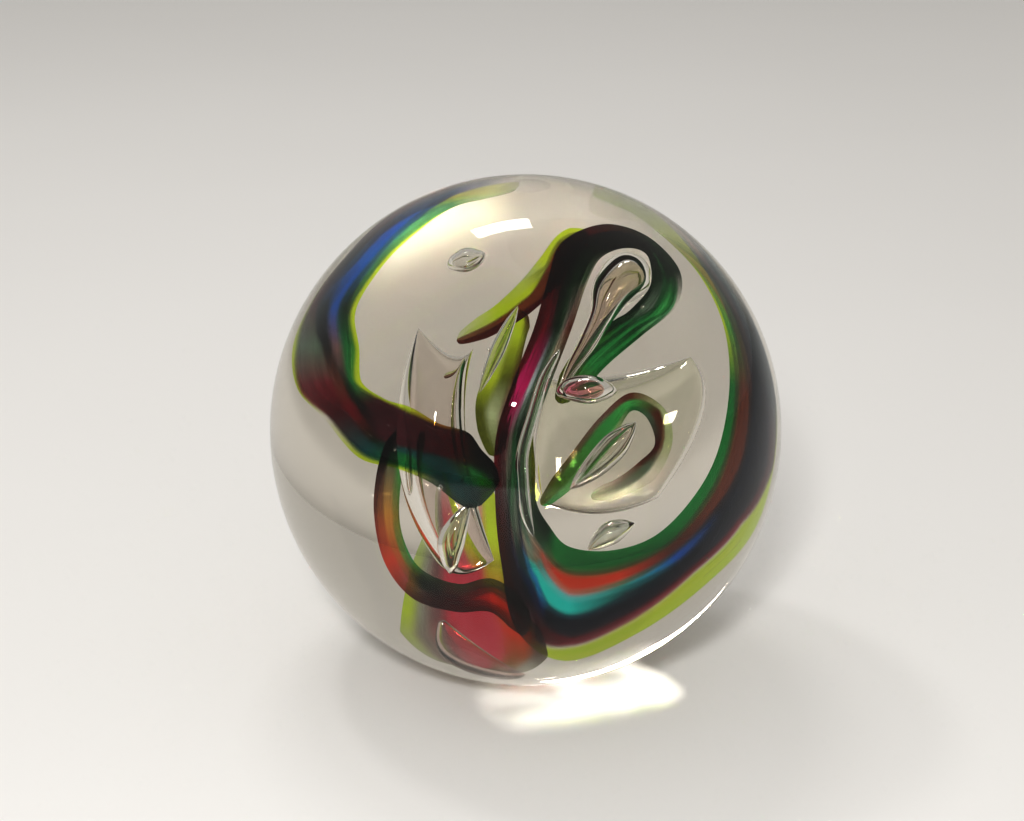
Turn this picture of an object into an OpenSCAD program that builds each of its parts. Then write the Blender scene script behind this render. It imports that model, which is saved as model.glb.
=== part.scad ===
// Art-glass orb paperweight: a solid clear ball with a flat base, coloured ribbons and air pockets.
// Millimetres, +Z up. The origin is the middle of the flat base; the camera side is -Y.

/* [Orb] */
// Diameter of the clear ball
orb_d = 90; // [70:1:110]
// Diameter of the polished flat that the orb rests on
base_d = 30; // [20:1:36]

/* [Ribbons] */
// Thickness of the long ribbon that climbs the right rim and crosses the front
great_t = 2.2; // [1.4:0.1:2.4]
// Thickness of the ribbon on the left side
left_t = 2; // [1.4:0.1:2.4]
// Thickness of the five short ribbons
short_t = 1.4; // [1:0.1:1.6]
// Slit between neighbouring glasses
seam = 0.04; // [0.02:0.01:0.08]

/* [Air pockets] */
// Thickness of the wide pocket on the left
left_pocket_t = 4.4; // [3:0.1:4.6]
// Thickness of the wide pocket on the right
right_pocket_t = 5; // [3:0.1:5.4]

/* [Hidden] */

k = orb_d / 90;                                  // the routes below are drawn for a 90 mm orb
ball_r = orb_d / 2;
centre_z = sqrt(pow(ball_r, 2) - pow(base_d / 2, 2));
ball_fn = 72;
ribbon_steps = 3;                                // rings for each span between two stations
pocket_steps = 10;                               // rings along a pocket

// A ribbon's stations along its length, from the orb's centre: the outer edge, then the inner edge.
great = [[[5, 29, 9], [7, 24, 16]], [[11, 26, 11], [13, 19, 18]], [[22, 16, 15], [20, 12, 16]],
    [[30, 8, 11], [25, 4, 13]], [[35, 1, 4], [27, -4, 8]], [[36, -5, -4], [26, -11, 1]],
    [[33, -9, -12.5], [23, -16, -4]], [[26, -17, -18], [18, -21, -8]], [[16, -20, -24], [12, -25, -9]],
    [[6, -21, -28], [6, -26, -8]], [[-1, -22, -22], [3, -25, -5]], [[-3, -21, -12], [1, -22, -2]],
    [[-4, -18, -3], [1, -18, 2]], [[-4, -15, 4], [1, -15, 6]], [[-2, -11, 10], [3, -11, 10]],
    [[1, -8, 17], [6, -7, 17]], [[3, -5, 23], [8, -3, 22]], [[5, -2, 28], [10, -1, 25]],
    [[11, 2, 29.5], [13.5, 0.5, 26]], [[17, 2.5, 27.5], [16.5, 0, 25.5]],
    [[21.5, -1.5, 24.5], [17, -3.5, 22.5]], [[20.5, -5, 20], [14, -5, 19]], [[15, -7, 16], [11, -4, 16]],
    [[9.5, -6, 10.5], [6, -3, 11]], [[5.5, -5, 5], [3, -3, 5]]];
left = [[[0, 27, 14], [-1, 21, 19]], [[-8, 22, 19], [-8, 16, 22]], [[-16, 18, 20], [-14, 10, 22]],
    [[-23, 11, 20], [-19, 4, 21]], [[-30, 5, 17], [-23, -2, 18]], [[-33, 1, 12], [-23, -8, 15]],
    [[-33, -7, 9], [-23, -13, 12]], [[-29, -14, 7], [-20, -17, 11]], [[-24, -19, 3], [-16, -18, 10]],
    [[-18, -21, 2], [-12, -19, 8]], [[-13, -21, 0], [-8, -17, 6]], [[-8, -19, -4], [-6, -16, 3]],
    [[-5, -15, -4], [-3, -13, -1]]];
fold = [
    [[-15, 4, -1], [-12, 3, -1]], [[-17, 1, -4], [-14, 1, -4]], [[-18, -3, -9], [-15, -2, -10]],
    [[-17, -6, -15], [-14, -4, -14]], [[-14, -9, -19], [-12, -7, -16]], [[-9, -12, -20], [-8, -9, -17]],
    [[-4, -13, -20], [-4, -10, -16]], [[0, -12, -25], [1, -11, -19]]];
strap = [
    [[-13, 5, -27], [3, -4, -30]], [[-13, 4, -22], [2, -5, -24]], [[-12, 6, -18], [-1, -2, -19]],
    [[-10, 11, -15], [-2, 5, -15]], [[-7, 17, -11], [-3, 15, -10]]];
back = [[[6.5, 15, 19], [7.5, 13, 18]], [[4, 16, 17], [5, 13, 15]], [[2, 17, 13.5], [3.5, 14, 12]],
    [[0, 18, 10], [1.5, 14, 9.5]], [[-3, 18, 7], [-2, 16, 5.5]], [[-6.5, 20, 3.5], [-7, 19, 1.5]]];
petal = [
    [[1, -6, -7], [3, -6, -8]], [[5, -5, -2], [7, -5, -4]], [[9, -4, 3], [11, -4, 1]],
    [[13, -3, 6], [13, -4, 4]], [[17, -3, 4], [15, -4, 3]], [[18, -4, 0], [16, -5, 0]],
    [[16, -6, -4], [14, -6, -2]], [[12, -7, -6], [11, -7, -4]], [[8, -7, -7], [8, -7, -5]]];
tongue = [
    [[-2, 3, 15], [1, 2, 14]], [[-3, 1, 12], [0, 0, 12]], [[-5, 0, 7], [-1, -1, 7]],
    [[-6, -1, 3], [-2, -2, 2]], [[-5, -2, -3], [-2, -2, -2]]];

// A wide pocket's four corners, then the middles of its top, right, bottom and left sides.
left_pocket = [[-13.5, -1, 14], [-6.5, -2, 11.5], [-4, -12, -13], [-11, -9, -14], [-9.5, -4, 11.5],
    [-7.5, -8, 1.5], [-8, -12, -15], [-16, -6, -1]];
right_pocket = [[3, 8, 3], [17, 16, 2], [14, 9, -11], [2, 4, -10],
    [10, 14, 1], [18, 15, -4], [8, 6, -12], [1, 6, -4]];
swirl_pocket = [[-12, -18, -21.5], [-11, -18, -21], [0, -17, -31], [-4, -16, -33], [-11.5, -18, -21],
    [-6, -18, -25.5], [-1.5, -16, -32.5], [-11.5, -17, -29]];

// A round pocket's axis from the orb's centre, and its radius at each point.
loop_pocket = [[16, 2, 22, 0.8], [14, 0, 22, 3.2], [11.5, -3.5, 21, 2.8], [10, -6.5, 18.5, 1.6],
    [8, -8, 15, 1.2], [6, -9, 12, 0.8], [4, -9, 8, 0.3]];
low_pocket = [[-7.5, -16, -4.5, 0.4], [-9, -17, -7, 1.4], [-10, -17, -10, 1.8], [-10, -17, -14, 0.6]];
hook_pocket = [[4, -13, 10, 0.4], [6, -14, 11, 1.6], [9, -14, 11, 1.9], [12, -12, 10, 0.5]];
lens_pocket = [[8, -15, -11, 0.4], [11, -14, -9, 1.6], [14, -13, -8, 0.4]];
stem_pocket = [[4.5, -12, 16, 0.3], [2.5, -14.5, 13, 0.7], [1, -17.5, 9, 0.8], [-0.5, -21, 4.5, 0.9],
    [-0.5, -23.5, 1, 0.9], [0, -26, -3, 0.8], [1, -27, -6, 0.3]];
petal_pocket = [[5.5, -9, -4.5, 0.3], [8.5, -9.5, -1.5, 1.5], [11.5, -9, 1.5, 1.7], [14, -8, 4, 0.4]];
wing_pocket = [[-1, -2, 17.5, 0.3], [-3.5, -5, 13, 1], [-6, -9, 8.5, 0.3]];
tube_pocket = [[-15.5, -12, 3.5, 0.3], [-15.5, -12, -0.5, 0.7], [-15, -12, -4.5, 0.5]];
top_bubble = [[-10.5, -2, 24, 0.3], [-9.5, -2, 24.5, 1.3], [-8, -2, 25, 1.8], [-6.5, -2, 25.5, 1.3],
    [-5.5, -2, 26, 0.3]];

// The largest seed bubbles: middle and radius
seeds = [[-12, -23, 0, 0.5], [-5, -12, 16, 0.3], [16, -8, 21, 0.3], [28, -25, -12, 0.3],
    [-20, -30, 8, 0.3], [5, -33, 6, 0.3]];

// Catmull-Rom curve through a list of numbers, points or edge pairs, at place x along it
function curve(a, b, c, d, t) = 0.5 * (2 * b + (c - a) * t + (2 * a - 5 * b + 4 * c - d) * t * t
    + (3 * b - a - 3 * c + d) * t * t * t);
function along(list, x) = let (n = len(list) - 1, i = max(0, min(floor(x), n - 1)))
    curve(list[max(i - 1, 0)], list[i], list[i + 1], list[min(i + 2, n)], x - i);
function unit(v) = v / norm(v);

// Cross-section of a ribbon: half thickness at place u across it, and the taper at its ends
function swell(u) = 0.3 + 0.7 * sqrt(1 - pow(2 * max(0, min(u, 1)) - 1, 4));
function taper(x, n) = 0.2 + 0.8 * sqrt(max(0, min(1, min(x, n - x) / 0.6)));

// One closed ring around the part of a ribbon from u = a to u = b, larger all round by grow
function ribbon_ring(rail, x, a, b, cuts, thick, grow) = let (
    n = len(rail) - 1,
    here = along(rail, x),
    ahead = along(rail, min(x + 0.1, n)) - along(rail, max(x - 0.1, 0)),
    across = here[0] - here[1],
    normal = unit(cross(ahead[0] + ahead[1], across)),
    e = taper(x, n),
    middle = (here[0] + here[1]) / 2,
    us = [for (i = [0:cuts]) a + (b - a) * i / cuts])
    k * concat(
        [for (u = us) middle + across * (u - 0.5) * e - normal * (swell(u) * thick / 2 * e + grow)],
        [for (i = [cuts:-1:0]) let (u = us[i])
            middle + across * (u - 0.5) * e + normal * (swell(u) * thick / 2 * e + grow)]);

// A closed solid through rings that have the same number of points
module loft(rings) {
    n = len(rings[0]);
    m = len(rings);
    polyhedron(points = [for (ring = rings) each ring], faces = concat(
        [[for (i = [0:n - 1]) i]],
        [for (j = [0:m - 2], i = [0:n - 1]) each let (a = j * n + i, b = j * n + (i + 1) % n)
            [[a, a + n, b], [b, a + n, b + n]]],
        [[for (i = [n - 1:-1:0]) (m - 1) * n + i]]));
}

// One glass of a ribbon: the strip from share a to share b of its width
module strand(rail, a, b, thick) {
    spans = len(rail) - 1;
    s = seam / 12;
    translate([0, 0, centre_z])
        loft([for (i = [0:spans * ribbon_steps])
            ribbon_ring(rail, i / ribbon_steps, a == 0 ? 0 : a + s, b == 1 ? 1 : b - s, 2, thick, 0)]);
}

// The room that a whole ribbon takes up in the clear glass
module ribbon_room(rail, thick) {
    spans = len(rail) - 1;
    s = seam / 3;
    translate([0, 0, centre_z])
        loft([for (i = [-0.02, each [1:spans * ribbon_steps - 1], spans * ribbon_steps + 0.02])
            ribbon_ring(rail, i / ribbon_steps, -s, 1 + s, 6, thick, seam)]);
}

// A wide thin pocket: a patch between four curved sides, thickest in the middle
function side(a, m, b, t) = a * (1 - t) * (1 - 2 * t) + m * 4 * t * (1 - t) + b * t * (2 * t - 1);
function patch(p, s, t) = (1 - t) * side(p[0], p[4], p[1], s) + t * side(p[3], p[6], p[2], s)
    + (1 - s) * side(p[0], p[7], p[3], t) + s * side(p[1], p[5], p[2], t)
    - (1 - s) * (1 - t) * p[0] - s * (1 - t) * p[1] - (1 - s) * t * p[3] - s * t * p[2];
module wide_pocket(p, thick) {
    normal = unit(cross(p[2] - p[0], p[1] - p[3]));
    n = pocket_steps;
    translate([0, 0, centre_z])
        loft([for (j = [0:n]) let (t = j / n) k * concat(
            [for (i = [0:n]) let (s = i / n) patch(p, s, t)
                - normal * (0.05 + thick * sqrt(s * (1 - s) * t * (1 - t)) * 2)],
            [for (i = [n:-1:0]) let (s = i / n) patch(p, s, t)
                + normal * (0.05 + thick * sqrt(s * (1 - s) * t * (1 - t)) * 2)])]);
}

// A round pocket along a curved axis
module round_pocket(axis) {
    spans = len(axis) - 1;
    n = spans * 4;
    translate([0, 0, centre_z])
        loft([for (j = [0:n]) let (
            x = j * spans / n,
            c = along(axis, x),
            ahead = along(axis, min(x + 0.1, spans)) - along(axis, max(x - 0.1, 0)),
            d = unit([ahead[0], ahead[1], ahead[2]]),
            p = unit(cross(d, [0, 1, 0])),
            q = cross(d, p))
            k * [for (a = [0:30:330]) [c[0], c[1], c[2]] + max(c[3], 0.1) * (p * cos(a) + q * sin(a))]]);
}

module clear_body() {
    color([0.86, 0.86, 0.82, 0.35]) difference() {
        translate([0, 0, centre_z]) sphere(ball_r, $fn = ball_fn);
        translate([-ball_r, -ball_r, -2 * ball_r]) cube(2 * ball_r);
        ribbon_room(great, great_t);
        ribbon_room(left, left_t);
        ribbon_room(fold, short_t);
        ribbon_room(strap, short_t);
        ribbon_room(back, short_t);
        ribbon_room(petal, short_t);
        ribbon_room(tongue, short_t);
        wide_pocket(left_pocket, left_pocket_t);
        wide_pocket(right_pocket, right_pocket_t);
        wide_pocket(swirl_pocket, 1.4);
        round_pocket(loop_pocket);
        round_pocket(low_pocket);
        round_pocket(hook_pocket);
        round_pocket(lens_pocket);
        round_pocket(stem_pocket);
        round_pocket(petal_pocket);
        round_pocket(wing_pocket);
        round_pocket(tube_pocket);
        round_pocket(top_bubble);
        for (p = seeds) translate([p[0], p[1], p[2]] * k + [0, 0, centre_z]) sphere(p[3] * k, $fn = 16);
    }
}

// The long ribbon, from its inner edge to its outer edge
module great_green() color("seagreen") strand(great, 0, 0.2, great_t);
module great_russet() color("brown") strand(great, 0.2, 0.4, great_t);
module great_azure() color("dodgerblue") strand(great, 0.4, 0.56, great_t);
module great_navy() color("midnightblue") strand(great, 0.56, 0.76, great_t);
module great_ruby() color("crimson") strand(great, 0.76, 0.86, great_t);
module great_lime() color("yellowgreen") strand(great, 0.86, 1, great_t);

// The ribbon on the left side
module left_lime() color("yellowgreen") strand(left, 0, 0.12, left_t);
module left_blue() color("royalblue") strand(left, 0.12, 0.38, left_t);
module left_teal() color("teal") strand(left, 0.38, 0.64, left_t);
module left_ruby() color("maroon") strand(left, 0.64, 1, left_t);

// The small fold at the lower left
module fold_green() color("darkgreen") strand(fold, 0, 0.3, short_t);
module fold_amber() color("goldenrod") strand(fold, 0.3, 0.7, short_t);
module fold_ruby() color("darkred") strand(fold, 0.7, 1, short_t);

// The strap that stands on the floor of the orb
module strap_lime() color("yellowgreen") strand(strap, 0.85, 1, short_t);
module strap_rose() color("indianred") strand(strap, 0.3, 0.85, short_t);
module strap_blue() color("slateblue") strand(strap, 0, 0.3, short_t);

// The short ribbon at the back, the petal in the right half and the tongue in the middle
module back_lime() color("yellowgreen") strand(back, 0.5, 1, short_t);
module back_ruby() color("darkred") strand(back, 0, 0.5, short_t);
module petal_green() color("forestgreen") strand(petal, 0, 0.4, short_t);
module petal_ruby() color("firebrick") strand(petal, 0.4, 1, short_t);
module tongue_lime() color("greenyellow") strand(tongue, 0, 1, short_t);

clear_body();
great_green();
great_russet();
great_azure();
great_navy();
great_ruby();
great_lime();
left_lime();
left_blue();
left_teal();
left_ruby();
fold_green();
fold_amber();
fold_ruby();
strap_lime();
strap_rose();
strap_blue();
back_lime();
back_ruby();
petal_green();
petal_ruby();
tongue_lime();
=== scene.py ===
import bpy
import numpy as np
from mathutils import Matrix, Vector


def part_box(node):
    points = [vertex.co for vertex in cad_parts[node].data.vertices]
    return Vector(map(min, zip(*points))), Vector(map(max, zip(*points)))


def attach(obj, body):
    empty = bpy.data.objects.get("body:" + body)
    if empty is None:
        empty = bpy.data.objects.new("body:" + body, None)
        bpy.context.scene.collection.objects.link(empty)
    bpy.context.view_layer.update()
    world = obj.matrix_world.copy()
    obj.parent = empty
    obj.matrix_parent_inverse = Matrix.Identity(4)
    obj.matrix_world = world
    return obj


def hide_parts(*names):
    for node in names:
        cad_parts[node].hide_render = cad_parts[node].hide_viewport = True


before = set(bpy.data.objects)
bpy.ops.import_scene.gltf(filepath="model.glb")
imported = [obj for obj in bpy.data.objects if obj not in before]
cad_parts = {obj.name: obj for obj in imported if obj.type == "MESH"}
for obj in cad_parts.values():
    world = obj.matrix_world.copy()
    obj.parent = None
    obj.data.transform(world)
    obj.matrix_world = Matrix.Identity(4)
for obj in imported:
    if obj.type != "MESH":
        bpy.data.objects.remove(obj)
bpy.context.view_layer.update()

# The camera looks down at the ball from the front, as someone sitting at a desk would.
# It has a long lens and stands about four ball widths away.
base_low, base_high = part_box("clear_body")
flat_r = 0.015                                   # the ground flat that the ball rests on
ball_h = base_high.z - base_low.z
ball_r = (ball_h ** 2 + flat_r ** 2) / (2 * ball_h)
centre = np.array([0, 0, ball_h - ball_r])
camera_data = bpy.data.cameras.new("desk_camera")
camera_data.lens = 85
camera_data.sensor_width = 36
camera_data.clip_start = 0.01
camera = bpy.data.objects.new("desk_camera", camera_data)
camera.location = (-0.0024, -0.4004, 0.1918)
camera.rotation_euler = (np.radians(70), 0, 0)
bpy.context.collection.objects.link(camera)
scene = bpy.context.scene
scene.camera = camera

# A large matt white table, with nothing else on it. A hair of air lies between it and the flat.
floor_mesh = bpy.data.meshes.new("table_top")
floor_size = 3.0
floor_z = -0.0001
floor_mesh.from_pydata([(-floor_size, -floor_size, floor_z), (floor_size, -floor_size, floor_z),
    (floor_size, floor_size, floor_z), (-floor_size, floor_size, floor_z)], [], [(0, 1, 2, 3)])
floor = bpy.data.objects.new("table_top", floor_mesh)
bpy.context.collection.objects.link(floor)


class Wire:
    """A node socket in a material. call() adds a node and returns one of its outputs."""

    def __init__(self, tree, socket):
        self.tree = tree
        self.socket = socket

    def call(self, kind, settings=(), output=0, **sockets):
        node = self.tree.nodes.new(kind)
        for name, value in dict(settings).items():
            setattr(node, name, value)
        for name, value in sockets.items():
            key = int(name[1:]) if name[0] == "s" and name[1:].isdigit() else name.replace("_", " ")
            if isinstance(value, Wire):
                self.tree.links.new(value.socket, node.inputs[key])
            else:
                node.inputs[key].default_value = value
        return Wire(self.tree, node.outputs[output])


def new_material(name, **sockets):
    """A material with one Principled shader whose plain sockets are set, and a Wire to build on."""
    material = bpy.data.materials.new(name)
    material.use_nodes = True
    tree = material.node_tree
    shader = tree.nodes["Principled BSDF"]
    for socket, value in sockets.items():
        shader.inputs[socket.replace("_", " ")].default_value = value
    return material, shader, Wire(tree, None)


paper, shader, wire = new_material("matt_table", Roughness=0.6)
place = wire.call("ShaderNodeTexCoord", output=3)
mottle = wire.call("ShaderNodeTexNoise", {"noise_dimensions": "3D"}, Vector=place, Scale=6.0, Detail=3.0)
tone = wire.call("ShaderNodeMix", {"data_type": "RGBA"}, output=2, Factor=mottle,
    s6=(0.80, 0.79, 0.775, 1), s7=(0.84, 0.83, 0.815, 1))
paper.node_tree.links.new(tone.socket, shader.inputs["Base Color"])
floor_mesh.materials.append(paper)


# The light is a soft warm room. A strip behind and above the ball mirrors in its top, and a
# small lamp near the camera puts the sparkles on the pockets. Two compact key lamps, front and
# back, don't mirror in the glass: the ball gathers their light into the bright patches.
world = bpy.data.worlds.new("studio")
world.use_nodes = True
world.node_tree.nodes["Background"].inputs["Color"].default_value = (0.96, 0.94, 0.905, 1)
world.node_tree.nodes["Background"].inputs["Strength"].default_value = 0.42
scene.world = world


def soft_box(name, place, wide, high, power):
    """A rectangular lamp at place, turned so that it faces the middle of the ball."""
    data = bpy.data.lights.new(name, "AREA")
    data.shape = "RECTANGLE"
    data.size = wide
    data.size_y = high
    data.energy = power
    data.color = (1, 0.99, 0.98)
    lamp = bpy.data.objects.new(name, data)
    lamp.location = place
    back = np.array(place) - centre
    back = back / np.linalg.norm(back)
    lamp.rotation_euler = (np.arccos(back[2]), 0, np.arctan2(back[0], -back[1]))
    bpy.context.collection.objects.link(lamp)
    return lamp


soft_box("back_strip", (-0.08, 0.34, 0.65), 0.20, 0.09, 0.4)
soft_box("front_spark", (-0.045, -0.43, 0.30), 0.014, 0.014, 0.1)
front_key = soft_box("front_key", (-0.06, -0.56, 0.38), 0.09, 0.09, 1.75)
front_key.visible_glossy = False
back_key = soft_box("back_key", (-0.22, 0.22, 0.56), 0.07, 0.07, 0.32)
back_key.visible_glossy = False
scene.view_settings.view_transform = "Standard"
scene.view_settings.look = "High Contrast"

# A ray crosses every strip and pocket wall twice, so it needs many bounces. The low blur and the
# high clamp keep the bright patches under the ball sharp.
glass_bounces = 64
scene.cycles.max_bounces = glass_bounces
scene.cycles.transmission_bounces = glass_bounces
scene.cycles.transparent_max_bounces = glass_bounces
scene.cycles.glossy_bounces = 16
scene.cycles.blur_glossy = 0.1
scene.cycles.sample_clamp_indirect = 40


# The clear ball is lead-free crystal, gathered in several dips and shaped in a wet block. The
# flat is ground and polished. The air pockets were trapped when the hot ribbons were folded
# over each other, so their walls belong to the ball's own glass and face into the pockets.
def curve_along(points, x):
    """Catmull-Rom curve through the rows of points: at place x, counted in rows, each span is the
    cubic whose slope at a row is half the step between that row's two neighbours."""
    points = np.asarray(points, float)
    last = len(points) - 1
    x = np.asarray(x, float)
    i = np.clip(np.floor(x).astype(int), 0, last - 1)
    t = (x - i).reshape(-1, *[1] * (points.ndim - 1))
    a = points[np.maximum(i - 1, 0)]
    b = points[i]
    c = points[i + 1]
    d = points[np.minimum(i + 2, last)]
    return 0.5 * (2 * b + (c - a) * t + (2 * a - 5 * b + 4 * c - d) * t ** 2
        + (3 * b - a - 3 * c + d) * t ** 3)


def unit(v):
    """Vectors of length one along the last axis."""
    return v / np.linalg.norm(v, axis=-1, keepdims=True)


def wide_pocket(corners_and_middles, thick, n=36):
    """A patch between four curved sides, each a parabola through its corner, middle and corner,
    blended as the sum of the two ruled surfaces less the bilinear one. It is thickened along
    its normal by thick times the root of 16 s (1 - s) t (1 - t), so its rim is round."""
    p = np.asarray(corners_and_middles, float) / 1000
    s = ((1 - np.cos(np.pi * np.arange(n + 1) / n)) / 2)[None, :, None]
    t = ((1 - np.cos(np.pi * np.arange(n + 1) / n)) / 2)[:, None, None]

    def side(a, m, b, x):
        return a * (1 - x) * (1 - 2 * x) + m * 4 * x * (1 - x) + b * x * (2 * x - 1)

    sheet = ((1 - t) * side(p[0], p[4], p[1], s) + t * side(p[3], p[6], p[2], s)
        + (1 - s) * side(p[0], p[7], p[3], t) + s * side(p[1], p[5], p[2], t)
        - (1 - s) * (1 - t) * p[0] - s * (1 - t) * p[1] - (1 - s) * t * p[3] - s * t * p[2])
    normal = unit(np.cross(p[2] - p[0], p[1] - p[3]))
    lift = (0.00005 + thick / 1000 * 2 * np.sqrt(s * (1 - s) * t * (1 - t))) * normal
    return np.concatenate([sheet - lift, (sheet + lift)[:, ::-1]], axis=1)


def round_pocket(axis, n=32, steps=12):
    """A tube of circles along a Catmull-Rom axis, whose fourth number is the radius. The circles
    close up at both ends as half an ellipse does."""
    axis = np.asarray(axis, float)
    spans = len(axis) - 1
    x = (1 - np.cos(np.pi * np.arange(spans * steps + 1) / (spans * steps))) / 2 * spans
    at = curve_along(axis, x)
    ahead = curve_along(axis, np.minimum(x + 0.1, spans)) - curve_along(axis, np.maximum(x - 0.1, 0))
    d = unit(ahead[:, :3])
    across = unit(np.cross(d, [0, 1, 0]))
    up = np.cross(d, across)
    end = np.sqrt(np.clip(np.minimum(x, spans - x) / 0.35, 0.0005, 1))
    r = (np.maximum(at[:, 3], 0.1) * end)[:, None, None]
    a = (2 * np.pi * np.arange(n) / n)[None, :, None]
    ring = at[:, None, :3] + r * (across[:, None] * np.cos(a) + up[:, None] * np.sin(a))
    return ring / 1000


def ring_faces(rings, count, start=0):
    """Quads between neighbouring rings of count points, and a ladder of quads across each end."""
    i = np.arange(count)
    j = np.arange(rings - 1)[:, None] * count
    nxt = (i + 1) % count
    sides = np.stack([j + i, j + count + i, j + count + nxt, j + nxt], axis=-1).reshape(-1, 4)
    k = np.arange(count // 2 - 1)
    first = np.stack([k, k + 1, count - 2 - k, count - 1 - k], axis=-1)
    last = first[:, ::-1] + (rings - 1) * count
    return np.concatenate([sides, first, last]) + start


def build(name, points, quads):
    """A smooth-shaded mesh object from an array of points and an array of quads."""
    mesh = bpy.data.meshes.new(name)
    mesh.vertices.add(len(points))
    mesh.vertices.foreach_set("co", points.ravel().astype(np.float32))
    mesh.loops.add(quads.size)
    mesh.loops.foreach_set("vertex_index", quads.ravel().astype(np.int32))
    mesh.polygons.add(len(quads))
    mesh.polygons.foreach_set("loop_start", (np.arange(len(quads)) * 4).astype(np.int32))
    mesh.polygons.foreach_set("use_smooth", np.full(len(quads), True))
    mesh.update(calc_edges=True)
    mesh.validate()
    piece = bpy.data.objects.new(name, mesh)
    bpy.context.collection.objects.link(piece)
    return piece


left_pocket = [[-13.5, -1, 14], [-6.5, -2, 11.5], [-4, -12, -13], [-11, -9, -14], [-9.5, -4, 11.5],
    [-7.5, -8, 1.5], [-8, -12, -15], [-16, -6, -1]]
right_pocket = [[3, 8, 3], [17, 16, 2], [14, 9, -11], [2, 4, -10],
    [10, 14, 1], [18, 15, -4], [8, 6, -12], [1, 6, -4]]
swirl_pocket = [[-12, -18, -21.5], [-11, -18, -21], [0, -17, -31], [-4, -16, -33], [-11.5, -18, -21],
    [-6, -18, -25.5], [-1.5, -16, -32.5], [-11.5, -17, -29]]
loop_pocket = [[16, 2, 22, 0.8], [14, 0, 22, 3.2], [11.5, -3.5, 21, 2.8], [10, -6.5, 18.5, 1.6],
    [8, -8, 15, 1.2], [6, -9, 12, 0.8], [4, -9, 8, 0.3]]
low_pocket = [[-7.5, -16, -4.5, 0.4], [-9, -17, -7, 1.4], [-10, -17, -10, 1.8], [-10, -17, -14, 0.6]]
hook_pocket = [[4, -13, 10, 0.4], [6, -14, 11, 1.6], [9, -14, 11, 1.9], [12, -12, 10, 0.5]]
lens_pocket = [[8, -15, -11, 0.4], [11, -14, -9, 1.6], [14, -13, -8, 0.4]]
stem_pocket = [[4.5, -12, 16, 0.3], [2.5, -14.5, 13, 0.7], [1, -17.5, 9, 0.8], [-0.5, -21, 4.5, 0.9],
    [-0.5, -23.5, 1, 0.9], [0, -26, -3, 0.8], [1, -27, -6, 0.3]]
petal_pocket = [[5.5, -9, -4.5, 0.3], [8.5, -9.5, -1.5, 1.5], [11.5, -9, 1.5, 1.7], [14, -8, 4, 0.4]]
wing_pocket = [[-1, -2, 17.5, 0.3], [-3.5, -5, 13, 1], [-6, -9, 8.5, 0.3]]
tube_pocket = [[-15.5, -12, 3.5, 0.3], [-15.5, -12, -0.5, 0.7], [-15, -12, -4.5, 0.5]]
top_bubble = [[-10.5, -2, 24, 0.3], [-9.5, -2, 24.5, 1.3], [-8, -2, 25, 1.8], [-6.5, -2, 25.5, 1.3],
    [-5.5, -2, 26, 0.3]]
seeds = [[-12, -23, 0, 0.5], [-5, -12, 16, 0.3], [16, -8, 21, 0.3], [28, -25, -12, 0.3],
    [-20, -30, 8, 0.3], [5, -33, 6, 0.3]]


def ball_skin(n=256):
    """A profile turned about Z: the ball's arc from the top down to the flat, a small rounded edge
    there, and the flat in to the middle. Rings run from the top to the middle of the flat."""
    edge = 0.0006
    stop = np.pi - np.arcsin(flat_r / ball_r) - 0.03
    arc = np.linspace(0.0008, stop, 150)
    turn = np.linspace(stop, np.pi, 12)[1:]
    rim = ball_r * np.sin(stop) - edge
    arc_z = centre[2] + ball_r * np.cos(arc)
    edge_z = np.interp(turn, [stop, np.pi], [arc_z[-1], 0])
    r = np.concatenate([ball_r * np.sin(arc), rim + edge * np.sin(turn) / np.sin(stop),
        np.linspace(1, 0.001, 12) * rim])
    z = np.concatenate([arc_z, edge_z, np.zeros(12)])
    a = 2 * np.pi * np.arange(n) / n
    return np.stack([r[:, None] * np.cos(a), r[:, None] * np.sin(a), np.repeat(z[:, None], n, 1)], -1)


# A shell is its surface and the painted colour on its wall, from its first ring to its last: a
# pocket's wall carries painted reflections and highlights of the coloured glass beside it.
plain = (1, 1, 1)
shells = [(ball_skin(), plain, plain)]
# These pocket tints are painted reflection: the hook pocket's pink is a painted highlight, and the lime of
# the low and wing pockets is painted reflection of the lime glass.
for corners, thick, first_reflection_tint, last_reflection_tint in (
        (left_pocket, 4.4, (0.90, 0.86, 0.84), (0.88, 0.76, 0.74)),
        (right_pocket, 5, (0.92, 0.94, 0.84), (0.96, 0.95, 0.93)),
        (swirl_pocket, 1.4, (0.90, 0.80, 0.78), (0.70, 0.50, 0.48))):
    shells.append((wide_pocket(corners, thick) + centre, first_reflection_tint, last_reflection_tint))
for axis, first_reflection_tint, last_reflection_tint in (
        (loop_pocket, (0.66, 0.64, 0.44), (0.62, 0.44, 0.50)),
        (low_pocket, (0.90, 0.86, 0.80), (0.72, 0.86, 0.30)),
        (hook_pocket, (1.00, 0.04, 0.40), (0.84, 0.80, 0.56)),
        (lens_pocket, (0.86, 0.92, 0.88), (0.86, 0.92, 0.88)),
        (stem_pocket, (0.66, 0.80, 0.70), (0.40, 0.62, 0.50)),
        (petal_pocket, (0.66, 0.84, 0.78), (0.90, 0.78, 0.70)),
        (wing_pocket, (0.66, 0.84, 0.16), (0.80, 0.88, 0.50)),
        (tube_pocket, plain, plain),
        (top_bubble, plain, plain)):
    shells.append((round_pocket(axis) + centre, first_reflection_tint, last_reflection_tint))
for x, y, z, r in seeds:
    seed = round_pocket([[x - r, y, z, 0.02], [x, y, z, r], [x + r, y, z, 0.02]], 16, 4)
    shells.append((seed + centre, plain, plain))
points, quads, reflection_tints, start = [], [], [], 0
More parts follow.
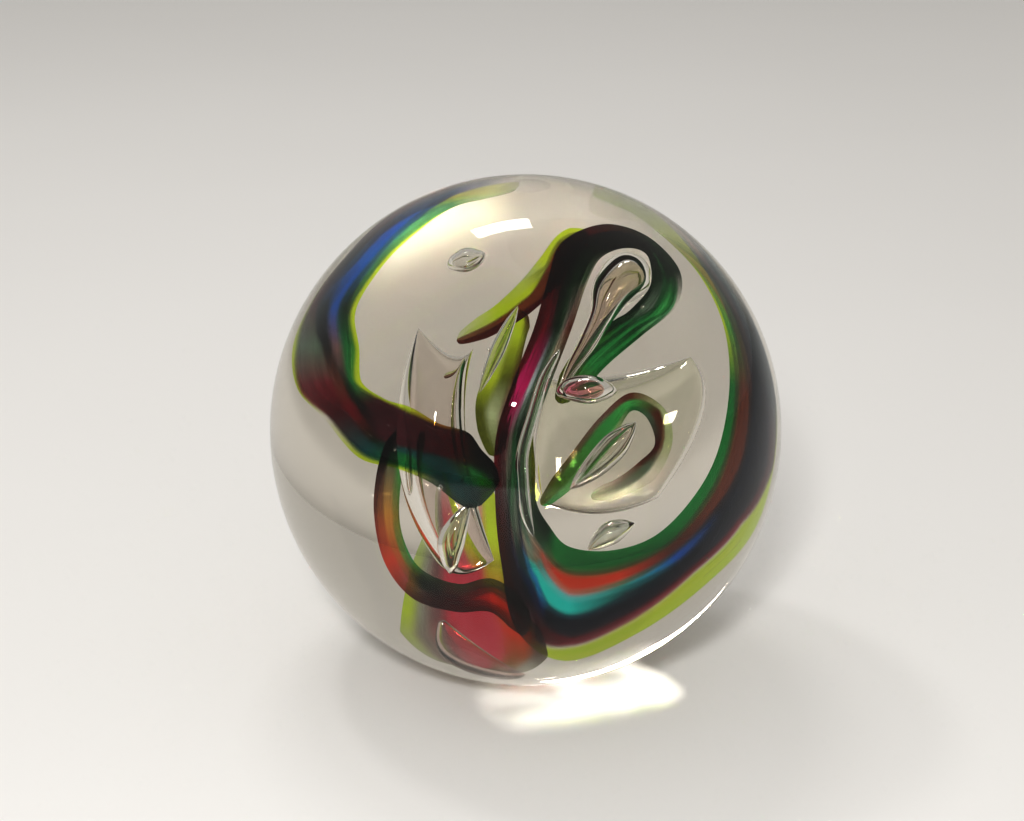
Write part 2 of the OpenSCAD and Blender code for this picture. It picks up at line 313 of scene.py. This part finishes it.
for shell, first_reflection_tint, last_reflection_tint in shells:
    rings, count = shell.shape[:2]
    points.append(shell.reshape(-1, 3))
    quads.append(ring_faces(rings, count, start))
    reflection_tints.append(np.repeat(np.linspace((*first_reflection_tint, 1), (*last_reflection_tint, 1), rings), count, axis=0))
    start += rings * count
ball = build("crystal_ball", np.concatenate(points), np.concatenate(quads))
layer = ball.data.color_attributes.new("painted_reflection", "FLOAT_COLOR", "POINT")
layer.data.foreach_set("color", np.concatenate(reflection_tints).ravel().astype(np.float32))
crystal, shader, wire = new_material("clear_crystal", Transmission_Weight=1.0, IOR=1.5, Roughness=0.0)
place = wire.call("ShaderNodeTexCoord", output=3)
cloud = wire.call("ShaderNodeTexNoise", {"noise_dimensions": "3D"}, Vector=place, Scale=30.0, Detail=2.0)
tone = wire.call("ShaderNodeMix", {"data_type": "RGBA"}, output=2, Factor=cloud,
    s6=(0.93, 0.92, 0.89, 1), s7=(0.97, 0.965, 0.945, 1))
# The painted reflection tint on the pocket walls multiplies the crystal's colour.
painted_reflection = wire.call("ShaderNodeAttribute", {"attribute_name": "painted_reflection"})
reflection_tinted = wire.call("ShaderNodeMix", {"data_type": "RGBA", "blend_type": "MULTIPLY"}, output=2,
    Factor=1.0, s6=tone, s7=painted_reflection)
crystal.node_tree.links.new(reflection_tinted.socket, shader.inputs["Base Color"])
# The warm absorption is partly the crystal's own faint tint and partly painted shade: it darkens the middle
# of the ball, where the table seen through it lies in the ball's shadow.
depth = crystal.node_tree.nodes.new("ShaderNodeVolumeAbsorption")
depth.inputs["Color"].default_value = (0.62, 0.55, 0.43, 1)
depth.inputs["Density"].default_value = 8
crystal.node_tree.links.new(depth.outputs[0], crystal.node_tree.nodes["Material Output"].inputs["Volume"])
ball.data.materials.append(crystal)
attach(ball, "root")
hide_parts("clear_body")


# The coloured ribbons are overlays of several coloured glasses, pulled into a flat cane and laid
# on the hot gather, where they twisted as they were folded in. The glasses of one ribbon lie
# side by side and bleed a little into each other.
CLEAR = (0.97, 0.975, 0.95)
PALE = (0.72, 0.84, 0.55)
LIME = (0.76, 0.96, 0.075)
OLIVE = (0.20, 0.24, 0.02)
EMERALD = (0.025, 0.30, 0.075)
JADE = (0.12, 0.62, 0.20)
BOTTLE = (0.008, 0.035, 0.010)
BLACK = (0.008, 0.008, 0.006)
TEAL = (0.02, 0.13, 0.14)
# CYAN_AND_PAINTED_LIGHT is partly blue-green glass and partly painted light: the bright band where light
# shines through the great ribbon low on the right.
CYAN_AND_PAINTED_LIGHT = (0.06, 0.97, 0.92)
AZURE = (0.02, 0.18, 0.72)
STEEL = (0.13, 0.22, 0.27)
NAVY = (0.006, 0.012, 0.030)
SLATE = (0.035, 0.065, 0.085)
# PAINTED_GLINT is a painted highlight: a pale blue-white glint laid on the great ribbon at stations 9, 9.5
# and 14.
PAINTED_GLINT = (0.72, 0.82, 0.92)
SMOKE = (0.18, 0.28, 0.21)
GREY = (0.52, 0.54, 0.46)
MAUVE = (0.36, 0.21, 0.21)
MAROON = (0.11, 0.025, 0.035)
GARNET = (0.11, 0.006, 0.009)
RUBY = (0.26, 0.008, 0.020)
RED = (0.95, 0.13, 0.06)
RUSSET = (0.20, 0.055, 0.028)
ROSE = (0.85, 0.13, 0.19)
# MAGENTA_AND_PAINTED_GLINT is partly rose glass and partly a painted pink highlight, the flash glint on the
# stem.
MAGENTA_AND_PAINTED_GLINT = (0.85, 0.04, 0.30)
AMBER = (0.72, 0.40, 0.09)


def swell(u):
    """Thickness across a ribbon as a share of its middle: three tenths at the edges, and full for
    most of the width, by the root of one less the fourth power of the distance from the middle."""
    return 0.3 + 0.7 * np.sqrt(1 - np.clip(2 * u - 1, -1, 1) ** 4)


def strand_shell(rail, a, b, thick, cuts=10, steps=10):
    """The strip from share a to share b of a ribbon's width. The ribbon runs between two edge
    curves; its middle sheet is straight from one to the other, and it is thickened both ways
    along the cross product of its run and its width. Also returns u and v at every point."""
    rail = np.asarray(rail, float)
    last = len(rail) - 1
    v = np.linspace(0, last, last * steps + 1)
    here = curve_along(rail, v)
    ahead = curve_along(rail, np.minimum(v + 0.1, last)) - curve_along(rail, np.maximum(v - 0.1, 0))
    across = here[:, 0] - here[:, 1]
    normal = unit(np.cross(ahead[:, 0] + ahead[:, 1], across))
    end = 0.2 + 0.8 * np.sqrt(np.clip(np.minimum(v, last - v) / 0.6, 0, 1))
    gap = 0.0006
    u = np.linspace(a + gap * (a > 0), b - gap * (b < 1), cuts + 1)
    flat = (here.mean(1)[:, None] + across[:, None] * (u[None, :, None] - 0.5) * end[:, None, None])
    lift = normal[:, None] * (swell(u)[None, :, None] * thick / 2 * end[:, None, None])
    shell = np.concatenate([flat + lift, (flat - lift)[:, ::-1]], axis=1) / 1000 + centre
    us = np.broadcast_to(np.concatenate([u, u[::-1]]), shell.shape[:2])
    vs = np.broadcast_to(v[:, None], shell.shape[:2])
    return shell, us, vs


def ribbon_tint(hues, u, v, bleed):
    """Colour at (u, v) of a ribbon. Each row of hues is a station, the places across the width
    where one colour goes over into the next, and the colours. Each goes over by a smooth step as
    wide as bleed, and rows blend in straight lines along the ribbon."""
    k = np.interp(v, [row[0] for row in hues], np.arange(len(hues)))
    i = np.clip(k.astype(int), 0, len(hues) - 2)
    f = (k - i)[..., None]
    edges = np.array([row[1] for row in hues], float)
    colours = np.array([row[2] for row in hues], float)
    edges = edges[i] * (1 - f) + edges[i + 1] * f
    colours = colours[i] * (1 - f[..., None]) + colours[i + 1] * f[..., None]
    colour = colours[..., 0, :]
    for n in range(edges.shape[-1]):
        s = np.clip((u - edges[..., n]) / bleed + 0.5, 0, 1)[..., None]
        s = s * s * (3 - 2 * s)
        colour = colour * (1 - s) + colours[..., n + 1, :] * s
    return colour


def glass_colour(name, depth_tint, depth):
    """A fused glass: light passes almost straight through, tinted at each face by the drawn colour
    with fine streaks along the ribbon, and by the glass's own depth."""
    material, shader, wire = new_material(name, Transmission_Weight=1.0, IOR=1.002, Roughness=0.0)
    tree = material.node_tree
    tint = wire.call("ShaderNodeAttribute", {"attribute_name": "tint"})
    run = wire.call("ShaderNodeAttribute", {"attribute_name": "run"}, output=1)
    streak = wire.call("ShaderNodeTexNoise", {"noise_dimensions": "3D"}, Vector=run, Scale=1.0,
        Detail=3.0, Roughness=0.6)
    depth_share = wire.call("ShaderNodeMapRange", {"interpolation_type": "SMOOTHSTEP"}, Value=streak,
        From_Min=0.3, From_Max=0.7, To_Min=0.4, To_Max=0.0)
    mixed = wire.call("ShaderNodeMix", {"data_type": "RGBA", "blend_type": "MULTIPLY"}, output=2,
        Factor=depth_share, s6=tint, s7=tint)
    tree.links.new(mixed.socket, shader.inputs["Base Color"])
    depth_node = tree.nodes.new("ShaderNodeVolumeAbsorption")
    depth_node.inputs["Color"].default_value = (*depth_tint, 1)
    depth_node.inputs["Density"].default_value = depth
    tree.links.new(depth_node.outputs[0], tree.nodes["Material Output"].inputs["Volume"])
    return material


glasses = {
    "green_glass": glass_colour("green_glass", (0.2, 0.9, 0.3), 12),
    "russet_glass": glass_colour("russet_glass", (0.9, 0.35, 0.2), 12),
    "azure_glass": glass_colour("azure_glass", (0.1, 0.6, 0.95), 12),
    "navy_glass": glass_colour("navy_glass", (0.15, 0.25, 0.6), 12),
    "ruby_glass": glass_colour("ruby_glass", (0.9, 0.1, 0.2), 12),
    "lime_glass": glass_colour("lime_glass", (0.85, 0.95, 0.3), 12),
    "teal_glass": glass_colour("teal_glass", (0.2, 0.8, 0.8), 12),
    "amber_glass": glass_colour("amber_glass", (0.95, 0.7, 0.3), 12),
    "rose_glass": glass_colour("rose_glass", (0.95, 0.4, 0.5), 12),
}


def lay_ribbon(rail, thick, shares, names, slots, hues, bleed=0.05):
    """Every glass of one ribbon as a piece of its own, from the inner edge to the outer one."""
    for n, name in enumerate(names):
        shell, u, v = strand_shell(rail, shares[n], shares[n + 1], thick)
        rings, count = shell.shape[:2]
        quads = ring_faces(rings, count)
        piece = build(name + "_glass", shell.reshape(-1, 3), quads)
        mesh = piece.data
        colour = ribbon_tint(hues, u, v, bleed).reshape(-1, 3)
        corner = np.ones((quads.size, 4), np.float32)
        corner[:, :3] = colour[quads.ravel()]
        half = count // 2
        column = (quads % count)
        wall = ((column == 0) | (column == count - 1)).all(1) if n > 0 else np.zeros(len(quads), bool)
        if n < len(names) - 1:
            wall = wall | ((column == half) | (column == half - 1)).all(1)
        corner[np.repeat(wall, 4), :3] = 1
        layer = mesh.color_attributes.new("tint", "FLOAT_COLOR", "CORNER")
        layer.data.foreach_set("color", corner.ravel())
        run = np.stack([v.ravel() * 0.6, u.ravel() * 14, np.full(v.size, 3.0)], -1)
        path = mesh.attributes.new("run", "FLOAT_VECTOR", "POINT")
        path.data.foreach_set("vector", run.ravel().astype(np.float32))
        mesh.materials.append(glasses[slots[n]])
        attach(piece, "root")
        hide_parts(name)


# The long ribbon is a cane of six glasses, laid on in one pull. It starts at the back, comes down
# the right rim, turns at the bottom, climbs the front as the stem, makes the upper loop and ends
# as a tail.
great = [[[5, 29, 9], [7, 24, 16]], [[11, 26, 11], [13, 19, 18]], [[22, 16, 15], [20, 12, 16]],
    [[30, 8, 11], [25, 4, 13]], [[35, 1, 4], [27, -4, 8]], [[36, -5, -4], [26, -11, 1]],
    [[33, -9, -12.5], [23, -16, -4]], [[26, -17, -18], [18, -21, -8]], [[16, -20, -24], [12, -25, -9]],
    [[6, -21, -28], [6, -26, -8]], [[-1, -22, -22], [3, -25, -5]], [[-3, -21, -12], [1, -22, -2]],
    [[-4, -18, -3], [1, -18, 2]], [[-4, -15, 4], [1, -15, 6]], [[-2, -11, 10], [3, -11, 10]],
    [[1, -8, 17], [6, -7, 17]], [[3, -5, 23], [8, -3, 22]], [[5, -2, 28], [10, -1, 25]],
    [[11, 2, 29.5], [13.5, 0.5, 26]], [[17, 2.5, 27.5], [16.5, 0, 25.5]],
    [[21.5, -1.5, 24.5], [17, -3.5, 22.5]], [[20.5, -5, 20], [14, -5, 19]], [[15, -7, 16], [11, -4, 16]],
    [[9.5, -6, 10.5], [6, -3, 11]], [[5.5, -5, 5], [3, -3, 5]]]
great_hues = [
    (0, (0.1, 0.2, 0.4, 0.6, 0.8, 0.9, 0.95), (PALE, CLEAR, CLEAR, CLEAR, CLEAR, CLEAR, CLEAR, CLEAR)),
    (1, (0.12, 0.3, 0.4, 0.5, 0.6, 0.8, 0.95), (PALE, CLEAR, CLEAR, CLEAR, CLEAR, CLEAR, CLEAR, CLEAR)),
    (2, (0.12, 0.22, 0.42, 0.6, 0.8, 0.9, 0.95), (LIME, SMOKE, MAUVE, SLATE, STEEL, GREY, CLEAR, CLEAR)),
    (3, (0.1, 0.28, 0.42, 0.5, 0.7, 0.9, 0.95), (LIME, EMERALD, RUSSET, NAVY, SLATE, SLATE, SLATE, STEEL)),
    (4, (0.12, 0.36, 0.44, 0.5, 0.72, 0.9, 0.95), (EMERALD, RUSSET, NAVY, NAVY, NAVY, SLATE, SLATE, SLATE)),
    (5, (0.13, 0.36, 0.42, 0.5, 0.82, 0.96, 0.98),
        (EMERALD, RUSSET, NAVY, NAVY, NAVY, MAROON, MAROON, LIME)),
    (6, (0.14, 0.30, 0.38, 0.45, 0.62, 0.70, 0.73), (EMERALD, RUSSET, NAVY, NAVY, NAVY, RUBY, CLEAR, LIME)),
    (7, (0.18, 0.32, 0.44, 0.5, 0.62, 0.70, 0.73), (EMERALD, RUSSET, AZURE, NAVY, NAVY, RUBY, CLEAR, LIME)),
    # At station 8 the bright cyan is painted light shining through the teal glass.
    (8, (0.20, 0.36, 0.42, 0.52, 0.70, 0.79, 0.82), (EMERALD, RED, CYAN_AND_PAINTED_LIGHT, TEAL, NAVY, RUBY, CLEAR, LIME)),
    # From here to station 10 the ribbon carries painted highlights: the pale glint and the bright cyan
    # stand for light glinting on it and shining through it.
    (9, (0.20, 0.36, 0.41, 0.56, 0.75, 0.83, 0.86), (EMERALD, RED, PAINTED_GLINT, CYAN_AND_PAINTED_LIGHT, NAVY, RUBY, CLEAR, LIME)),
    (9.5, (0.20, 0.31, 0.37, 0.56, 0.72, 0.9, 0.93), (EMERALD, RED, PAINTED_GLINT, CYAN_AND_PAINTED_LIGHT, NAVY, GARNET, CLEAR, LIME)),
    (10, (0.16, 0.26, 0.33, 0.48, 0.54, 0.74, 0.9),
        (BOTTLE, SMOKE, RED, CYAN_AND_PAINTED_LIGHT, AZURE, NAVY, GARNET, GARNET)),
    (11, (0.2, 0.3, 0.45, 0.55, 0.62, 0.76, 0.9),
        (BOTTLE, SMOKE, GREY, SMOKE, NAVY, BLACK, MAROON, GARNET)),
    (12, (0.15, 0.25, 0.35, 0.5, 0.6, 0.8, 0.9),
        (OLIVE, SMOKE, SMOKE, EMERALD, BOTTLE, SMOKE, MAROON, GARNET)),
    (13, (0.05, 0.2, 0.3, 0.5, 0.6, 0.7, 0.9), (OLIVE, SMOKE, BOTTLE, BOTTLE, SMOKE, MAUVE, MAROON, RUBY)),
    # At station 14 the pale glint and the inner part of the magenta are the painted pink flash highlight on
    # the stem; the outer magenta is rose glass.
    (14, (0.1, 0.35, 0.42, 0.46, 0.56, 0.7, 0.93),
        (SMOKE, PALE, SMOKE, SMOKE, PAINTED_GLINT, MAGENTA_AND_PAINTED_GLINT, MAGENTA_AND_PAINTED_GLINT, RUBY)),
    (15, (0.12, 0.22, 0.3, 0.4, 0.5, 0.65, 0.8),
        (RUSSET, MAUVE, SMOKE, BOTTLE, BOTTLE, MAROON, RUBY, GARNET)),
    (16, (0.08, 0.2, 0.4, 0.5, 0.6, 0.7, 0.8),
        (GREY, BOTTLE, BOTTLE, BOTTLE, BLACK, BLACK, GARNET, GARNET)),
    (17.5, (0.05, 0.2, 0.4, 0.5, 0.6, 0.7, 0.8),
        (BLACK, BLACK, BLACK, BLACK, BLACK, BLACK, GARNET, GARNET)),
    (19, (0.05, 0.2, 0.4, 0.5, 0.6, 0.7, 0.8), (BOTTLE, BLACK, BLACK, BLACK, BLACK, BLACK, BOTTLE, BOTTLE)),
    (20, (0.1, 0.3, 0.4, 0.45, 0.6, 0.7, 0.8),
        (BOTTLE, BOTTLE, BOTTLE, EMERALD, BOTTLE, BOTTLE, BOTTLE, BOTTLE)),
    (21, (0.2, 0.32, 0.5, 0.56, 0.64, 0.8, 0.93),
        (BOTTLE, SMOKE, SMOKE, BOTTLE, EMERALD, JADE, EMERALD, CLEAR)),
    (22, (0.12, 0.2, 0.34, 0.5, 0.7, 0.8, 0.93),
        (BOTTLE, EMERALD, BOTTLE, EMERALD, EMERALD, JADE, BOTTLE, EMERALD)),
    (23, (0.1, 0.2, 0.34, 0.5, 0.7, 0.8, 0.93),
        (OLIVE, OLIVE, BOTTLE, EMERALD, JADE, JADE, EMERALD, EMERALD)),
    (24, (0.1, 0.2, 0.4, 0.5, 0.6, 0.8, 0.93), (OLIVE, BLACK, OLIVE, OLIVE, OLIVE, OLIVE, OLIVE, OLIVE))]
lay_ribbon(great, 2.2, (0, 0.2, 0.4, 0.56, 0.76, 0.86, 1),
    ("great_green", "great_russet", "great_azure", "great_navy", "great_ruby", "great_lime"),
    ("green_glass", "russet_glass", "azure_glass", "navy_glass", "ruby_glass", "lime_glass"), great_hues)


# The left ribbon is a cane of lime, blue, teal and ruby glass. It comes down the left rim, folds
# over itself in a kink where it was twisted, and runs on to the right behind the stem.
left = [[[0, 27, 14], [-1, 21, 19]], [[-8, 22, 19], [-8, 16, 22]], [[-16, 18, 20], [-14, 10, 22]],
    [[-23, 11, 20], [-19, 4, 21]], [[-30, 5, 17], [-23, -2, 18]], [[-33, 1, 12], [-23, -8, 15]],
    [[-33, -7, 9], [-23, -13, 12]], [[-29, -14, 7], [-20, -17, 11]], [[-24, -19, 3], [-16, -18, 10]],
    [[-18, -21, 2], [-12, -19, 8]], [[-13, -21, 0], [-8, -17, 6]], [[-8, -19, -4], [-6, -16, 3]],
    [[-5, -15, -4], [-3, -13, -1]]]
left_hues = [
    (0, (0.12, 0.3, 0.5, 0.7, 0.98), (PALE, CLEAR, CLEAR, CLEAR, CLEAR, CLEAR)),
    (1, (0.14, 0.34, 0.5, 0.66, 0.98), (LIME, AZURE, AZURE, STEEL, MAUVE, MAUVE)),
    (2, (0.12, 0.24, 0.52, 0.68, 0.98), (LIME, TEAL, AZURE, AZURE, MAROON, MAUVE)),
    (3, (0.12, 0.22, 0.5, 0.66, 0.98), (LIME, TEAL, AZURE, AZURE, SLATE, MAUVE)),
    (4, (0.09, 0.30, 0.5, 0.8, 0.97), (LIME, BOTTLE, AZURE, SLATE, MAROON, PALE)),
    (5, (0.05, 0.22, 0.36, 0.5, 0.93), (LIME, EMERALD, MAUVE, BLACK, SMOKE, LIME)),
    (6, (0.09, 0.16, 0.24, 0.38, 0.97), (LIME, EMERALD, BOTTLE, RUSSET, RUBY, LIME)),
    (7, (0.03, 0.3, 0.44, 0.62, 0.93), (LIME, MAROON, BLACK, RUBY, GARNET, CLEAR)),
    (8, (0.07, 0.5, 0.62, 0.72, 0.94), (LIME, MAROON, MAROON, BOTTLE, TEAL, LIME)),
    (9, (0.03, 0.5, 0.58, 0.7, 0.96), (AMBER, MAROON, MAROON, TEAL, EMERALD, LIME)),
    (10, (0.05, 0.48, 0.52, 0.8, 0.9), (BLACK, GARNET, MAROON, TEAL, TEAL, SMOKE)),
    (11, (0.22, 0.32, 0.6, 0.8, 0.95), (BLACK, BOTTLE, EMERALD, TEAL, TEAL, BOTTLE)),
    (12, (0.2, 0.3, 0.6, 0.8, 0.95), (BLACK, BLACK, BOTTLE, BOTTLE, BLACK, SMOKE))]
lay_ribbon(left, 2, (0, 0.12, 0.38, 0.64, 1), ("left_lime", "left_blue", "left_teal", "left_ruby"),
    ("lime_glass", "azure_glass", "teal_glass", "ruby_glass"), left_hues, 0.09)


# The fold at the lower left is a short amber cane with a green and a ruby edge. It hung loose
# from the gather and curled round as the ball was turned.
fold = [
    [[-15, 4, -1], [-12, 3, -1]], [[-17, 1, -4], [-14, 1, -4]], [[-18, -3, -9], [-15, -2, -10]],
    [[-17, -6, -15], [-14, -4, -14]], [[-14, -9, -19], [-12, -7, -16]], [[-9, -12, -20], [-8, -9, -17]],
    [[-4, -13, -20], [-4, -10, -16]], [[0, -12, -25], [1, -11, -19]]]
fold_hues = [
    (0, (0.3, 0.6, 0.8), (RUSSET, MAUVE, MAUVE, GARNET)),
    (1, (0.3, 0.5, 0.68), (JADE, SMOKE, SMOKE, BLACK)),
    (2, (0.1, 0.4, 0.75), (OLIVE, AMBER, AMBER, RUSSET)),
    (3, (0.15, 0.4, 0.8), (JADE, AMBER, RED, RED)),
    (4, (0.15, 0.5, 0.8), (SMOKE, BOTTLE, MAUVE, RUSSET)),
    (5, (0.3, 0.5, 0.65), (JADE, SMOKE, BLACK, GARNET)),
    (6, (0.25, 0.33, 0.8), (OLIVE, BLACK, RED, RUSSET)),
    (7, (0.25, 0.4, 0.7), (BLACK, GARNET, RUSSET, OLIVE))]
lay_ribbon(fold, 1.4, (0, 0.3, 0.7, 1), ("fold_green", "fold_amber", "fold_ruby"),
    ("green_glass", "amber_glass", "ruby_glass"), fold_hues, 0.15)


# The broad strap low in the ball is rose glass between a blue and a lime edge. It was laid on
# first, so it lies nearest to the pontil end, which is now the ground flat.
strap = [
    [[-13, 5, -27], [3, -4, -30]], [[-13, 4, -22], [2, -5, -24]], [[-12, 6, -18], [-1, -2, -19]],
    [[-10, 11, -15], [-2, 5, -15]], [[-7, 17, -11], [-3, 15, -10]]]
strap_hues = [
    (0, (0.15, 0.3, 0.45, 0.7, 0.9), (GREY, OLIVE, ROSE, ROSE, MAUVE, GREY)),
    (1, (0.1, 0.3, 0.72, 0.84, 0.92), (GARNET, RED, ROSE, MAUVE, GREY, LIME)),
    (3, (0.1, 0.3, 0.72, 0.84, 0.92), (LIME, LIME, ROSE, MAUVE, GREY, PALE)),
    (4, (0.1, 0.3, 0.72, 0.84, 0.92), (LIME, LIME, CLEAR, CLEAR, CLEAR, CLEAR))]
lay_ribbon(strap, 1.4, (0, 0.3, 0.85, 1), ("strap_blue", "strap_rose", "strap_lime"),
    ("navy_glass", "rose_glass", "lime_glass"), strap_hues, 0.08)


# The short ribbon behind the loop is the drawn-out end of a lime and ruby cane. It was snapped
# off and covered by the next gather.
back = [[[6.5, 15, 19], [7.5, 13, 18]], [[4, 16, 17], [5, 13, 15]], [[2, 17, 13.5], [3.5, 14, 12]],
    [[0, 18, 10], [1.5, 14, 9.5]], [[-3, 18, 7], [-2, 16, 5.5]], [[-6.5, 20, 3.5], [-7, 19, 1.5]]]
back_hues = [
    (0, (0.5, 0.75), (GARNET, OLIVE, LIME)),
    (1, (0.66, 0.78), (GARNET, OLIVE, LIME)),
    (2, (0.48, 0.6), (GARNET, OLIVE, LIME)),
    (3, (0.3, 0.9), (GARNET, LIME, PALE)),
    (4, (0.42, 0.9), (GARNET, LIME, LIME)),
    (5, (0.4, 0.9), (RUSSET, PALE, CLEAR))]
lay_ribbon(back, 1.4, (0, 0.5, 1), ("back_ruby", "back_lime"), ("ruby_glass", "lime_glass"),
    back_hues, 0.1)


# The hook-shaped petal in the right half is a thin green and ruby cane that was bent back on
# itself with a pick while soft.
petal = [
    [[1, -6, -7], [3, -6, -8]], [[5, -5, -2], [7, -5, -4]], [[9, -4, 3], [11, -4, 1]],
    [[13, -3, 6], [13, -4, 4]], [[17, -3, 4], [15, -4, 3]], [[18, -4, 0], [16, -5, 0]],
    [[16, -6, -4], [14, -6, -2]], [[12, -7, -6], [11, -7, -4]], [[8, -7, -7], [8, -7, -5]]]
petal_hues = [
    (0, (0.4, 0.8), (JADE, OLIVE, OLIVE)),
    (2, (0.2, 0.8), (PALE, JADE, MAUVE)),
    (3, (0.2, 0.6), (EMERALD, JADE, RUSSET)),
    (4, (0.3, 0.75), (SMOKE, RUSSET, PALE)),
    (5, (0.25, 0.4), (GARNET, RUSSET, PALE)),
    (6, (0.2, 0.55), (RUSSET, SMOKE, CLEAR)),
    (8, (0.3, 0.7), (CLEAR, GREY, GREY))]
lay_ribbon(petal, 1.4, (0, 0.4, 1), ("petal_green", "petal_ruby"), ("green_glass", "ruby_glass"),
    petal_hues, 0.15)


# The bright tongue beside the stem is one strip of lime glass with darker streaks, trapped
# where the folds meet.
tongue = [
    [[-2, 3, 15], [1, 2, 14]], [[-3, 1, 12], [0, 0, 12]], [[-5, 0, 7], [-1, -1, 7]],
    [[-6, -1, 3], [-2, -2, 2]], [[-5, -2, -3], [-2, -2, -2]]]
tongue_hues = [
    (0, (0.3, 0.8), (RUSSET, LIME, PALE)),
    (1, (0.12, 0.6), (OLIVE, LIME, PALE)),
    (2, (0.15, 0.55), (RUSSET, OLIVE, LIME)),
    (3, (0.3, 0.7), (MAUVE, PALE, OLIVE)),
    (4, (0.3, 0.6), (GARNET, OLIVE, OLIVE))]
lay_ribbon(tongue, 1.4, (0, 1), ("tongue_lime",), ("lime_glass",), tongue_hues, 0.2)
